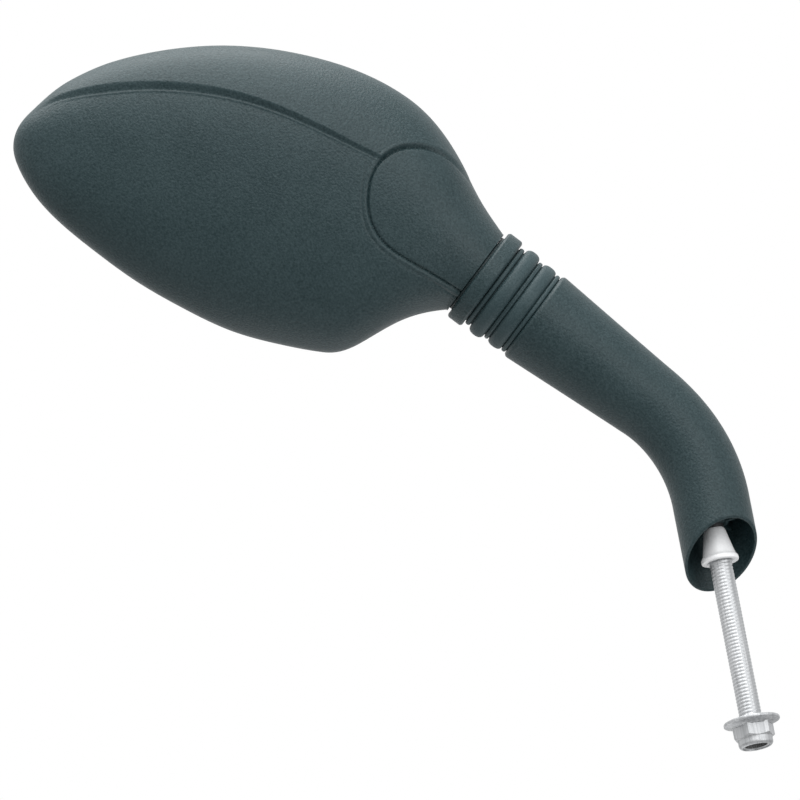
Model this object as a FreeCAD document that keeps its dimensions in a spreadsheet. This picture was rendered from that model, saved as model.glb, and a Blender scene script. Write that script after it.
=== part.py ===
import FreeCAD, Part
import math
import os
import Sketcher

V = FreeCAD.Vector
doc = FreeCAD.newDocument("scooter_mirror")

# Driving dimensions, in millimetres and degrees.
# The origin is on the stud's axis at the cone foot's lower face, +Z runs up the stud into the arm,
# the arm bends towards -X and the glass looks towards +Y.
SIZES = {
    "stud_dia": 8.0,
    "stud_reach": 58.0,
    "stud_tail": 6.0,
    "taper_length": 8.0,
    "run_gap": 0.05,
    "nut_flats": 13.0,
    "nut_height": 9.8,
    "flange_dia": 20.0,
    "flange_edge": 0.9,
    "foot_height": 12.0,
    "foot_rim_dia": 13.4,
    "foot_tip_dia": 7.6,
    "foot_socket": 5.5,
    "core_dia": 7.0,
    "spigot_dia": 5.0,
    "spigot_length": 5.0,
    "arm_bend": 44.4,
    "elbow_height": 46.1,
    "elbow_radius": 55.0,
    "arm_reach": 83.8,
    "sleeve_top_dia": 35.0,
    "sleeve_end_dia": 27.2,
    "taper_reach": 55.0,
    "sleeve_wall": 2.2,
    "sleeve_start": 12.1,
    "mouth_level": 3.1,
    "mouth_lean": 35.7,
    "mouth_turn": -78.0,
    "ball_dia": 16.0,
    "ball_bore": 6.6,
    "tube_dia": 25.0,
    "cup_dia": 21.0,
    "collar_dia": 36.6,
    "collar_width": 6.2,
    "collar_start": 12.0,
    "collar_gap": 0.3,
    "neck_gap": 1.0,
    "neck_dia": 32.6,
    "bellows_dia": 36.0,
    "groove_dia": 31.0,
    "rubber": 1.5,
    "head_slope": 36.9,
    "head_roll": 21.7,
    "head_scale": 1.0,
    "housing_wall": 2.6,
    "brow_height": 1.2,
    "groove_width": 1.0,
    "groove_depth": 0.8,
    "rim_level": 18.0,
    "ledge_level": 11.5,
    "ledge_wall": 2.0,
    "bulkhead": 34.0,
    "bulkhead_wall": 3.5,
    "glass_curve": 1000.0,
    "glass_thick": 2.5,
    "glass_proud": 1.0,
    "glass_gap": 0.5,
    "foam_thick": 0.8,
    "screw_dia": 2.8,
    "screw_spread": 16.5,
    "ear_margin": 3.2,
    "ear_width": 12.0,
}
sheet = doc.addObject("Spreadsheet::Sheet", "sizes")
for row, (name, value) in enumerate(SIZES.items(), 1):
    sheet.set(f"A{row}", name)
    sheet.set(f"B{row}", str(value))
    sheet.setAlias(f"B{row}", name)
doc.recompute()
next_row = [len(SIZES) + 1]


def size(name):
    """A driving or worked-out dimension, read from the sheet."""
    return float(sheet.get(name))


def worked_out(formulas):
    """Adds named formulas to the sheet, so that features can be tied to them."""
    for name, formula in formulas.items():
        sheet.set(f"A{next_row[0]}", name)
        sheet.set(f"B{next_row[0]}", "=" + formula)
        sheet.setAlias(f"B{next_row[0]}", name)
        next_row[0] += 1
    sheet.recompute()


# Where the arm and the head stand.
# The neck runs from the ball into the head; a is the distance from the ball along it, + towards the arm.
bend = math.radians(size("arm_bend"))
neck = V(-math.sin(bend), 0, math.cos(bend))
elbow = V(0, 0, size("elbow_height"))
ball_centre = elbow + neck * size("arm_reach")
slope = math.radians(size("head_slope"))
tip_down = 90 - size("arm_bend") - size("head_slope")
head_turn = (
    FreeCAD.Rotation(neck, -size("head_roll"))
    * FreeCAD.Rotation(V(0, -1, 0), -tip_down)
    * FreeCAD.Rotation(V(1, 0, 0), 90)
)
head_place = FreeCAD.Placement(ball_centre, head_turn)
arm_way = V(math.cos(slope), -math.sin(slope), 0)
across = V(math.sin(slope), math.cos(slope), 0)
axis_turn = FreeCAD.Rotation(across.cross(arm_way), across, arm_way, "ZYX")
axis_place = FreeCAD.Placement(ball_centre, head_turn * axis_turn)
stud_place = FreeCAD.Placement()


def turned(label, profile, place):
    """A body turned about its own Z from a closed profile of (radius, height) formulas."""
    names = [(f"{label}_rad_{i}", f"{label}_lift_{i}") for i in range(len(profile))]
    worked_out({n: f for pair, point in zip(names, profile) for n, f in zip(pair, point)})
    points = [V(size(r), size(z), 0) for r, z in names]
    body = doc.addObject("PartDesign::Body", label)
    body.Label = label
    sketch = body.newObject("Sketcher::SketchObject", label + "_profile")
    plane = [o for o in body.Origin.OriginFeatures if o.Role == "XZ_Plane"][0]
    sketch.AttachmentSupport = [(plane, "")]
    sketch.MapMode = "FlatFace"
    count = len(points)
    for i in range(count):
        sketch.addGeometry(Part.LineSegment(points[i], points[(i + 1) % count]), False)
    for i in range(count):
        sketch.addConstraint(Sketcher.Constraint("Coincident", i, 2, (i + 1) % count, 1))
    for i in range(count):
        for way, name, value in (("X", names[i][0], points[i].x), ("Y", names[i][1], points[i].y)):
            row = sketch.addConstraint(Sketcher.Constraint("Distance" + way, -1, 1, i, 1, value))
            sketch.setExpression(f"Constraints[{row}]", f"sizes.{name}")
    turn = body.newObject("PartDesign::Revolution", label + "_turn")
    turn.Profile = sketch
    turn.ReferenceAxis = (sketch, ["V_Axis"])
    turn.Angle = 360
    body.Tip = turn
    body.Placement = place
    return body


def bound(kind, label, place=None, **formulas):
    """A primitive whose properties follow formulas on the sheet."""
    piece = doc.addObject(kind, label)
    for name, formula in formulas.items():
        piece.setExpression(name, formula)
    if place is not None:
        piece.Placement = place
    return piece


def joined(label, pieces):
    """Pieces moulded or turned in one."""
    fuse = doc.addObject("Part::MultiFuse", label)
    fuse.Shapes = pieces
    fuse.Refine = False
    return fuse


def cut(label, base, tool):
    """Base with the tool's space taken out of it."""
    piece = doc.addObject("Part::Cut", label)
    piece.Base = base
    piece.Tool = tool
    piece.Refine = False
    return piece


def formed(label, shape, place=None):
    """A shape worked out in code from the sheet's sizes."""
    piece = doc.addObject("Part::Feature", label)
    piece.Shape = shape
    if place is not None:
        piece.Placement = place
    return piece


def along(distance, turn=axis_turn):
    """Placement in the head's own frame at a distance along the neck's axis."""
    return FreeCAD.Placement(arm_way * distance, turn)


# The stud: M8 at its full diameter where the lug goes, with a slight taper on its tail to start the nut.
# Its thinner upper end is screwed into the cone foot.
worked_out(
    {
        "tail_rad": "stud_dia / 2 - run_gap",
        "stud_end": "-stud_reach - stud_tail",
        "root_rad": "stud_dia * 0.4",
    }
)
stud = turned(
    "stud",
    [
        ("0", "foot_socket"),
        ("root_rad", "foot_socket"),
        ("root_rad", "0"),
        ("stud_dia / 2", "0"),
        ("stud_dia / 2", "taper_length - stud_reach"),
        ("tail_rad", "stud_end + stud_dia * 0.1"),
        ("tail_rad - stud_dia * 0.1", "stud_end"),
        ("0", "stud_end"),
    ],
    stud_place,
)

# The cone foot: a turned shoulder that the lug bears on, with sockets for the stud and the arm's core
cone_foot = turned(
    "cone_foot",
    [
        ("stud_dia / 2 + 0.6", "0"),
        ("foot_rim_dia / 2 - 0.5", "0"),
        ("foot_rim_dia / 2", "0.5"),
        ("foot_rim_dia / 2", "1.2"),
        ("foot_rim_dia / 2 - 0.8", "2"),
        ("foot_tip_dia / 2 + 0.5", "foot_height - 2.2"),
        ("foot_tip_dia / 2", "foot_height - 0.9"),
        ("foot_tip_dia / 2 - 0.6", "foot_height"),
        ("spigot_dia / 2 + 0.02", "foot_height"),
        ("spigot_dia / 2 + 0.02", "foot_height - spigot_length - 0.2"),
        ("1", "foot_height - spigot_length - 0.2"),
        ("1", "foot_socket + 0.2"),
        ("root_rad + 0.02", "foot_socket + 0.2"),
        ("root_rad + 0.02", "0.7"),
    ],
    stud_place,
)

# The flange nut, waiting on the stud's last threads, and the nylon ring crimped into its collar
worked_out(
    {
        "nut_bore": "stud_dia / 2 + run_gap",
        "hex_start": "flange_edge + 0.8",
        "hex_end": "nut_height * 0.68",
        "ring_rad": "nut_bore + 1.3",
        "ring_start": "nut_height * 0.72",
        "ring_end": "nut_height * 0.93",
    }
)
nut_place = FreeCAD.Placement(V(0, 0, -size("stud_reach")), FreeCAD.Rotation(V(1, 0, 0), 180))
nut_round = turned(
    "nut_round",
    [
        ("nut_bore", "0"),
        ("flange_dia / 2 - 0.3", "0"),
        ("flange_dia / 2", "0.3"),
        ("flange_dia / 2", "flange_edge"),
        ("nut_flats / 2 + 0.6", "flange_edge + 1.4"),
        ("nut_flats / 2 - 0.2", "flange_edge + 1.5"),
        ("nut_flats / 2 - 0.2", "hex_end + 0.3"),
        ("ring_rad + 0.8", "hex_end + 0.9"),
        ("ring_rad + 0.8", "nut_height - 1"),
        ("ring_rad + 0.2", "nut_height - 0.2"),
        ("ring_rad - 0.5", "nut_height"),
        ("ring_rad - 0.5", "ring_end + 0.05"),
        ("ring_rad + 0.05", "ring_end + 0.05"),
        ("ring_rad + 0.05", "ring_start - 0.05"),
        ("nut_bore", "ring_start - 0.05"),
    ],
    FreeCAD.Placement(),
)
nut_hex = bound(
    "Part::Prism",
    "nut_hex",
    FreeCAD.Placement(V(0, 0, size("hex_start")), FreeCAD.Rotation()),
    Circumradius="sizes.nut_flats / 2 / cos(30 deg)",
    Height="sizes.hex_end - sizes.hex_start",
)
nut_hole = bound("Part::Cylinder", "nut_hole", Radius="sizes.nut_bore", Height="sizes.ring_start - 0.05")
flange_nut = joined("flange_nut", [nut_round, cut("nut_hex_ring", nut_hex, nut_hole)])
flange_nut.Placement = nut_place
nylon_insert = turned(
    "nylon_insert",
    [
        ("nut_bore", "ring_start"),
        ("ring_rad", "ring_start"),
        ("ring_rad", "ring_end"),
        ("nut_bore", "ring_end"),
    ],
    nut_place,
)

# The arm's line: from the cone foot up the stud's axis, round the elbow, then along the neck to the ball
tangent = size("elbow_radius") * math.tan(bend / 2)
bend_low = elbow - V(0, 0, tangent)
bend_high = elbow + neck * tangent
bend_middle = bend_low + V(-size("elbow_radius"), 0, 0)
straight = size("arm_reach") - tangent - size("sleeve_start")
arc_length = size("elbow_radius") * bend


def arm_point(distance):
    """Point and direction on the arm's line, measured down from the sleeve's top end."""
    if distance < straight:
        return bend_high + neck * (straight - distance), -neck
    if distance < straight + arc_length:
        angle = bend - (distance - straight) / size("elbow_radius")
        spoke = V(math.cos(angle), 0, math.sin(angle))
        return bend_middle + spoke * size("elbow_radius"), V(math.sin(angle), 0, -math.cos(angle))
    return bend_low - V(0, 0, distance - straight - arc_length), V(0, 0, -1)


# The core: a bent steel rod with a spigot turned on each end
core = doc.addObject("PartDesign::Body", "core_rod")
core_planes = {o.Role: o for o in core.Origin.OriginFeatures}
core_line = core.newObject("Sketcher::SketchObject", "core_line")
core_line.AttachmentSupport = [(core_planes["XZ_Plane"], "")]
core_line.MapMode = "FlatFace"
worked_out(
    {
        "core_low": "foot_height",
        "core_high": "ball_dia / 2 - 1.5",
        "bend_tangent": "elbow_radius * tan(arm_bend * 1 deg / 2)",
        "bend_low_lift": "elbow_height - bend_tangent",
        "bend_high_side": "-bend_tangent * sin(arm_bend * 1 deg)",
        "bend_high_lift": "elbow_height + bend_tangent * cos(arm_bend * 1 deg)",
        "core_top_side": "-(arm_reach - core_high) * sin(arm_bend * 1 deg)",
        "core_top_lift": "elbow_height + (arm_reach - core_high) * cos(arm_bend * 1 deg)",
    }
)
core_top = V(size("core_top_side"), size("core_top_lift"), 0)
low_point = V(0, size("core_low"), 0)
bend_start = V(0, size("bend_low_lift"), 0)
bend_end = V(size("bend_high_side"), size("bend_high_lift"), 0)
bend_circle = Part.Circle(V(-size("elbow_radius"), size("bend_low_lift"), 0), V(0, 0, 1), size("elbow_radius"))
core_line.addGeometry(Part.LineSegment(low_point, bend_start), False)
core_line.addGeometry(Part.ArcOfCircle(bend_circle, 0, bend), False)
core_line.addGeometry(Part.LineSegment(bend_end, core_top), False)
for first, second in (((0, 2), (1, 1)), ((1, 2), (2, 1))):
    core_line.addConstraint(Sketcher.Constraint("Coincident", *first, *second))
for spot, side, lift in (
    ((0, 1), None, "core_low"),
    ((0, 2), None, "bend_low_lift"),
    ((2, 1), "bend_high_side", "bend_high_lift"),
    ((2, 2), "core_top_side", "core_top_lift"),
):
    if side is None:
        core_line.addConstraint(Sketcher.Constraint("PointOnObject", *spot, -2))
    else:
        row = core_line.addConstraint(Sketcher.Constraint("DistanceX", -1, 1, *spot, size(side)))
        core_line.setExpression(f"Constraints[{row}]", f"sizes.{side}")
    row = core_line.addConstraint(Sketcher.Constraint("DistanceY", -1, 1, *spot, size(lift)))
    core_line.setExpression(f"Constraints[{row}]", f"sizes.{lift}")
row = core_line.addConstraint(Sketcher.Constraint("Radius", 1, size("elbow_radius")))
core_line.setExpression(f"Constraints[{row}]", "sizes.elbow_radius")
core_round = core.newObject("Sketcher::SketchObject", "core_round")
core_round.AttachmentSupport = [(core_planes["XY_Plane"], "")]
core_round.MapMode = "FlatFace"
core_round.AttachmentOffset = FreeCAD.Placement(V(0, 0, size("core_low")), FreeCAD.Rotation())
core_round.addGeometry(Part.Circle(V(0, 0, 0), V(0, 0, 1), size("core_dia") / 2), False)
core_round.addConstraint(Sketcher.Constraint("Coincident", 0, 3, -1, 1))
row = core_round.addConstraint(Sketcher.Constraint("Diameter", 0, size("core_dia")))
core_round.setExpression(f"Constraints[{row}]", "sizes.core_dia")
doc.recompute()
core_sweep = core.newObject("PartDesign::AdditivePipe", "core_sweep")
core_sweep.Profile = core_round
core_sweep.Spine = (core_line, ["Edge1", "Edge2", "Edge3"])
core.Tip = core_sweep
core_foot = bound(
    "Part::Cylinder",
    "core_foot",
    FreeCAD.Placement(V(0, 0, size("foot_height") - size("spigot_length")), FreeCAD.Rotation()),
    Radius="sizes.spigot_dia / 2",
    Height="sizes.spigot_length + 1",
)
core_tip = bound(
    "Part::Cylinder",
    "core_tip",
    FreeCAD.Placement(ball_centre, FreeCAD.Rotation(V(0, 0, 1), -neck)),
    Radius="sizes.spigot_dia / 2",
    Height="sizes.core_high + 1",
)
arm_core = joined("arm_core", [core, core_foot, core_tip])

# The ball pressed onto the core's upper spigot
ball_round = bound("Part::Sphere", "ball_round", axis_place, Radius="sizes.ball_dia / 2")
ball_hole = bound(
    "Part::Cylinder",
    "ball_hole",
    FreeCAD.Placement(ball_centre - neck * -0.2, FreeCAD.Rotation(V(0, 0, 1), -neck)),
    Radius="sizes.spigot_dia / 2 + 0.02",
    Height="sizes.ball_dia",
)
ball_seat = bound(
    "Part::Cylinder",
    "ball_seat",
    FreeCAD.Placement(ball_centre - neck * (size("core_high") - 0.02), FreeCAD.Rotation(V(0, 0, 1), -neck)),
    Radius="sizes.core_dia / 2 + 0.02",
    Height="sizes.ball_dia",
)
ball_end = cut("ball_end", ball_round, joined("ball_space", [ball_hole, ball_seat]))

# The sleeve: a hollow tapered moulding round the core, with ribs to it, an end wall under the bellows
# and a slanting open mouth over the cone foot
sleeve_length = straight + arc_length + bend_low.z + size("foot_rim_dia")
stations = [step / 10 for step in range(11)]


def sleeve_radius(distance):
    """The taper: even below the bellows, then easing into a straight tube down to the mouth."""
    top = size("sleeve_top_dia") / 2
    end = size("sleeve_end_dia") / 2
    fall = (top - end) * (1 - distance / size("taper_reach"))
    return end + (fall + math.hypot(fall, 0.5)) / 2


def sleeve_skin(inset, start, over=0):
    """Loft of circles along the arm's line, the given distance inside the outer skin and over its low end."""
    rounds = []
    for share in stations:
        distance = start + (sleeve_length + over - start) * share
        point, way = arm_point(distance)
        circle = Part.Circle(point, way, sleeve_radius(distance) - inset)
        rounds.append(Part.Wire(circle.toShape()))
    return Part.makeLoft(rounds, True, False)


sleeve_top = FreeCAD.Placement(arm_point(0)[0], FreeCAD.Rotation(V(0, 0, 1), -neck))
top_bevel = turned(
    "top_bevel",
    [
        ("sleeve_top_dia / 2 - 1", "0"),
        ("sleeve_top_dia / 2 + 2", "3"),
        ("sleeve_top_dia / 2 + 2", "-2"),
        ("sleeve_top_dia / 2 - 1", "-2"),
    ],
    sleeve_top,
)
sleeve_outer = cut("sleeve_outer", formed("sleeve_skin", sleeve_skin(0, 0)), top_bevel)
sleeve_inner = formed("sleeve_inner", sleeve_skin(size("sleeve_wall"), size("sleeve_wall") * 2.4, 5))
core_space = bound(
    "Part::Cylinder",
    "core_space",
    FreeCAD.Placement(arm_point(-1)[0], FreeCAD.Rotation(V(0, 0, 1), -neck)),
    Radius="sizes.core_dia / 2 + 0.05",
    Height="12",
)
bellows_space = bound(
    "Part::Cylinder",
    "bellows_space",
    FreeCAD.Placement(arm_point(-1)[0], FreeCAD.Rotation(V(0, 0, 1), -neck)),
    Radius="sizes.groove_dia / 2 + sizes.run_gap",
    Height="1 + sizes.rubber * 4 / 3",
)
boss_low = size("foot_height") + 1.5
boss_height = bend_low.z - boss_low
boss = Part.makeCylinder(size("core_dia") / 2 + 2, boss_height, V(0, 0, boss_low))
for turn in (0, 90):
    rib = Part.makeBox(60, 1.6, boss_height, V(-30, -0.8, boss_low))
    rib.rotate(V(0, 0, 0), V(0, 0, 1), turn + 45)
    boss = boss.fuse(rib)
boss = boss.common(sleeve_skin(size("sleeve_wall") / 2, 0))
boss = boss.cut(Part.makeCylinder(size("core_dia") / 2 + 0.05, boss_height + 2, V(0, 0, boss_low - 1)))
mouth_way = FreeCAD.Rotation(V(0, 0, 1), size("mouth_turn")) * FreeCAD.Rotation(V(0, 1, 0), -size("mouth_lean"))
mouth_block = bound(
    "Part::Box",
    "mouth_block",
    FreeCAD.Placement(V(0, 0, size("mouth_level")) + mouth_way.multVec(V(-40, -40, -60)), mouth_way),
    Length="80",
    Width="80",
    Height="60",
)
sleeve_shell = cut("sleeve_shell", sleeve_outer, sleeve_inner)
sleeve_whole = joined("sleeve_whole", [sleeve_shell, formed("sleeve_ribs", boss)])
sleeve_tools = joined("sleeve_tools", [core_space, bellows_space, mouth_block])
arm_sleeve = cut("arm_sleeve", sleeve_whole, sleeve_tools)

# The rubber bellows: two rings and three grooves between the collar and the sleeve.
# Its plain ends sit in counterbores in both.
worked_out(
    {
        "collar_end": "collar_width - collar_start",
        "ring_a_start": "collar_end + 2.4",
        "ring_a_end": "ring_a_start + 6",
        "ring_b_start": "ring_a_end + 1.9",
        "ring_b_end": "sleeve_start - 2",
        "groove_rad": "groove_dia / 2",
        "ring_a_rad": "bellows_dia / 2",
        "ring_b_rad": "bellows_dia / 2 - 0.75",
        "rubber_rad": "groove_rad - rubber",
        "seat_depth": "rubber * 4 / 3",
    }
)


def bulge(name):
    """Outer profile of one ring, with its shoulders taken off."""
    return [
        ("groove_rad", f"{name}_start"),
        (f"{name}_rad - 0.9", f"{name}_start"),
        (f"{name}_rad", f"{name}_start + 1.2"),
        (f"{name}_rad", f"{name}_end - 1.2"),
        (f"{name}_rad - 0.9", f"{name}_end"),
        ("groove_rad", f"{name}_end"),
    ]


def hollow(name):
    """Inner profile of one ring, a wall inside the outer one, in the other direction."""
    return [
        ("rubber_rad", f"{name}_end - rubber"),
        (f"{name}_rad - rubber", f"{name}_end - rubber"),
        (f"{name}_rad - rubber", f"{name}_start + rubber"),
        ("rubber_rad", f"{name}_start + rubber"),
    ]


neck_bellows = turned(
    "neck_bellows",
    [("groove_rad", "collar_end - seat_depth + 0.05")]
    + bulge("ring_a")
    + bulge("ring_b")
    + [("groove_rad", "sleeve_start + seat_depth - 0.05"), ("rubber_rad", "sleeve_start + seat_depth - 0.05")]
    + hollow("ring_b")
    + hollow("ring_a")
    + [("rubber_rad", "collar_end - seat_depth + 0.05")],
    axis_place,
)

# The collar that turns round the socket's tube, next to the head's neck
worked_out({"collar_bore": "tube_dia / 2 + collar_gap", "collar_rad": "collar_dia / 2"})
neck_collar = turned(
    "neck_collar",
    [
        ("collar_bore", "-collar_start"),
        ("collar_rad - 0.7", "-collar_start"),
        ("collar_rad", "0.7 - collar_start"),
        ("collar_rad", "collar_end - 0.7"),
        ("collar_rad - 0.7", "collar_end"),
        ("groove_rad + run_gap", "collar_end"),
        ("groove_rad + run_gap", "collar_end - seat_depth"),
        ("collar_bore", "collar_end - seat_depth"),
    ],
    axis_place,
)

# The socket: a tube through the head's neck with a cup that holds the ball, and two ears screwed to the bulkhead
worked_out(
    {
        "seat_rad": "ball_dia / 2 + run_gap",
        "socket_back": "-bulkhead - 3.05",
        "cup_lip": "sqrt(seat_rad * seat_rad - ball_bore * ball_bore)",
    }
)
socket_tube = turned(
    "socket_tube",
    [
        ("seat_rad", "socket_back"),
        ("tube_dia / 2", "socket_back"),
        ("tube_dia / 2", "collar_end - 1"),
        ("cup_dia / 2", "collar_end"),
        ("cup_dia / 2", "cup_lip - 0.8"),
        ("cup_dia / 2 - 0.8", "cup_lip"),
        ("ball_bore", "cup_lip"),
        ("ball_bore", "0"),
        ("seat_rad", "0"),
    ],
    FreeCAD.Placement(),
)
socket_sphere = bound("Part::Sphere", "socket_sphere", Radius="sizes.seat_rad")
socket_bore = bound(
    "Part::Cylinder",
    "socket_bore",
    FreeCAD.Placement(V(0, 0, size("socket_back") - 1), FreeCAD.Rotation()),
    Radius="sizes.seat_rad",
    Height="1 - sizes.socket_back",
)
ear_half = size("screw_spread") + size("ear_margin")
ear = bound(
    "Part::Box",
    "socket_ears",
    FreeCAD.Placement(V(-size("ear_width") / 2, -ear_half, size("socket_back")), FreeCAD.Rotation()),
    Length="sizes.ear_width",
    Width="2 * (sizes.screw_spread + sizes.ear_margin)",
    Height="3",
)
screw_spots = [V(0, side * size("screw_spread"), 0) for side in (-1, 1)]
ear_holes = []
for i, spot in enumerate(screw_spots):
    spot_place = FreeCAD.Placement(spot + V(0, 0, size("socket_back") - 1), FreeCAD.Rotation())
    ear_holes.append(
        bound("Part::Cylinder", f"ear_hole_{i}", spot_place, Radius="sizes.screw_dia / 2 + 0.3", Height="8")
    )
socket_whole = joined("socket_whole", [socket_tube, ear])
socket_tools = joined("socket_tools", [socket_sphere, socket_bore] + ear_holes)
socket_body = cut("socket_body", socket_whole, socket_tools)
socket_body.Placement = axis_place

# Behind the ball: a friction pad with a hollow face, two pairs of disc springs and a plug screwed in behind them
worked_out(
    {
        "pad_rad": "seat_rad - run_gap",
        "pad_front": "-ball_dia / 4",
        "pad_back": "-ball_dia / 2 - 4",
        "plug_front": "pad_back - 4.6",
        "plug_back": "plug_front - 7",
    }
)
pad_block = bound(
    "Part::Cylinder",
    "pad_block",
    FreeCAD.Placement(V(0, 0, size("pad_back")), FreeCAD.Rotation()),
    Radius="sizes.pad_rad",
    Height="sizes.pad_front - sizes.pad_back",
)
pad_sphere = bound("Part::Sphere", "pad_sphere", Radius="sizes.seat_rad")
friction_pad = cut("friction_pad", pad_block, pad_sphere)
friction_pad.Placement = axis_place


def disc_spring(lift, rise):
    """One coned washer: its outer edge at lift, its inner edge the rise further on."""
    outer = size("pad_rad") - 0.2
    inner = size("ball_dia") / 4
    points = [V(inner, 0, lift + rise), V(outer, 0, lift), V(outer, 0, lift + 0.6), V(inner, 0, lift + rise + 0.6)]
    return Part.Face(Part.makePolygon(points + points[:1])).revolve(V(0, 0, 0), V(0, 0, 1), 360)


springs = []
for i in range(4):
    foot = size("plug_front") + 0.02 + i * 1.14
    springs.append(disc_spring(foot + (0 if i % 2 == 0 else 0.5), 0.5 if i % 2 == 0 else -0.5))
disc_springs = formed("disc_springs", Part.makeCompound(springs), axis_place)
plug_block = bound(
    "Part::Cylinder",
    "plug_block",
    FreeCAD.Placement(V(0, 0, size("plug_back")), FreeCAD.Rotation()),
    Radius="sizes.pad_rad",
    Height="sizes.plug_front - sizes.plug_back",
)
plug_key = bound(
    "Part::Prism",
    "plug_key",
    FreeCAD.Placement(V(0, 0, size("plug_back") - 1), FreeCAD.Rotation()),
    Circumradius="sizes.ball_dia / 4",
    Height="5",
)
spring_plug = cut("spring_plug", plug_block, plug_key)
spring_plug.Placement = axis_place


def screw():
    """A pan-head screw pointing along +Z from the ear it holds."""
    back = size("socket_back") - 0.02
    head = Part.makeCylinder(size("screw_dia"), 2, V(0, 0, back - 2))
    rim = max(head.Edges, key=lambda e: e.Length if abs(e.CenterOfMass.z - back + 2) < 0.01 else 0)
    head = head.makeFillet(0.7, [rim])
    slot = Part.makeBox(0.8, 3.6, 1.4, V(-0.4, -1.8, back - 2.2))
    cross = Part.makeBox(3.6, 0.8, 1.4, V(-1.8, -0.4, back - 2.2))
    shank = Part.makeCylinder(size("screw_dia") / 2, 6.4, V(0, 0, back))
    return head.cut(slot).cut(cross).fuse(shank).removeSplitter()


screws = []
for spot in screw_spots:
    one = screw()
    one.translate(spot)
    screws.append(one)
socket_screws = formed("socket_screws", Part.makeCompound(screws), axis_place)

# The head's outline, in its own frame: p to the right, q up and r to the back, from the ball's centre.
# The spine runs from the tip to the neck's end face and the sections stand across it.
# Each station: share of the spine, reach above, reach below, depth to the back, depth to the front, level of
# the widest line.
grow = size("head_scale")
neck_rad = size("neck_dia") / 2
neck_face = size("collar_start") + size("neck_gap")
SPINE_TIP = V(-173.2 * grow, 52.0 * grow, 0)
SPINE_END = arm_way * -neck_face
SPINE_BEND = SPINE_END - arm_way * 75 * grow
STATIONS = [
    (0.010, 7.4, 7.8, 6.0, 13.0, -6.0),
    (0.040, 14.2, 17.6, 11.0, 20.0, -6.0),
    (0.090, 21.5, 27.2, 15.6, 25.0, -6.0),
    (0.160, 28.8, 36.4, 19.6, 28.0, -6.0),
    (0.250, 35.0, 45.3, 23.0, 30.0, -6.0),
    (0.360, 40.0, 52.0, 26.0, 31.0, -6.0),
    (0.500, 42.8, 56.3, 28.4, 31.0, -6.0),
    (0.640, 42.6, 55.5, 29.0, 30.0, -6.0),
    (0.750, 38.0, 52.6, 28.2, 28.0, -5.0),
    (0.840, 30.0, 44.8, 25.6, 24.0, -3.2),
    (0.910, 22.4, 29.8, 21.6, 19.6, -1.4),
]
SECTION_POINTS = 36


def spine(share):
    """Point and direction on the spine, a curve that leaves the tip level and ends along the neck."""
    back = 1 - share
    point = SPINE_TIP * back**2 + SPINE_BEND * 2 * share * back + SPINE_END * share**2
    way = (SPINE_BEND - SPINE_TIP) * back + (SPINE_END - SPINE_BEND) * share
    return point, way.normalize()


def section(point, way, above, below, back, front, level, power):
    """A closed smooth curve across the spine: a rounded box whose corners sharpen with the power."""
    side = V(-way.y, way.x, 0)
    points = []
    for i in range(SECTION_POINTS):
        angle = 2 * math.pi * i / SECTION_POINTS - math.pi / 2
        c, s = math.cos(angle), math.sin(angle)
        reach = (abs(c) ** power + abs(s) ** power) ** (-1 / power)
        across = reach * c * (above if c > 0 else below)
        depth = reach * s * (back if s > 0 else front)
        points.append(point + side * across + V(0, 0, level + depth))
    curve = Part.BSplineCurve()
    knots = [i / SECTION_POINTS for i in range(SECTION_POINTS + 1)]
    curve.interpolate(Points=points, PeriodicFlag=True, Parameters=knots)
    return Part.Wire(curve.toShape())


def head_skin(offset_at, past=0):
    """Loft over the head's sections, outside its skin by a distance given at each share of the spine."""
    tip, way = spine(0)
    rounds = [Part.Vertex(tip - way * offset_at(0) + V(0, 0, STATIONS[0][5]))]
    for share, above, below, back, front, level in STATIONS:
        point, way = spine(share)
        offset = offset_at(share)
        power = 2.4 - 0.4 * max(0, (share - 0.6) / 0.4) ** 2
        sizes = [value * grow + offset for value in (above, below, back, front)]
        rounds.append(section(point - way * offset * max(0, 1 - share / 0.1), way, *sizes, level * grow, power))
    for extra in (0, past) if past else (0,):
        end = SPINE_END + arm_way * extra
        rounds.append(section(end, arm_way, *[neck_rad + offset_at(1)] * 4, 0, 2.0))
    return Part.makeLoft(rounds, True, False)


def inside(distance):
    """The same distance inside the skin all over."""
    return lambda share: -distance


def brow_step(share):
    """How far the brow stands proud: little at the tip, most at a third, less again by the pad."""
    rise = min(1, 0.2 + 3.2 * share)
    fall = max(0, min(1, (share - 0.55) / 0.35))
    return size("brow_height") * rise * (1 - 0.6 * fall)


def block(edges, height):
    """Straight block over a closed set of edges."""
    return Part.Face(Part.Wire(edges)).extrude(V(0, 0, height))


# Lines seen on the back: the brow's crease, and the round pad where the neck leaves the shell
CREASE = [
    (-182, 57.5),
    (-164.4, 67.0),
    (-142.7, 72.8),
    (-125.1, 74.2),
    (-107.6, 73.1),
    (-93.5, 70.4),
    (-79.5, 65.8),
    (-51.4, 52.4),
    (-36.0, 45.0),
    (20.0, 20.0),
]
PAD = [
    (-2.0, 27.0),
    (-12.1, 39.6),
    (-20.5, 48.6),
    (-30.4, 51.9),
    (-39.5, 50.4),
    (-45.8, 44.5),
    (-48.6, 34.0),
    (-47.2, 24.4),
    (-42.0, 16.8),
    (-33.9, 11.2),
    (-23.4, 5.1),
    (-8.0, -5.2),
]
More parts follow.
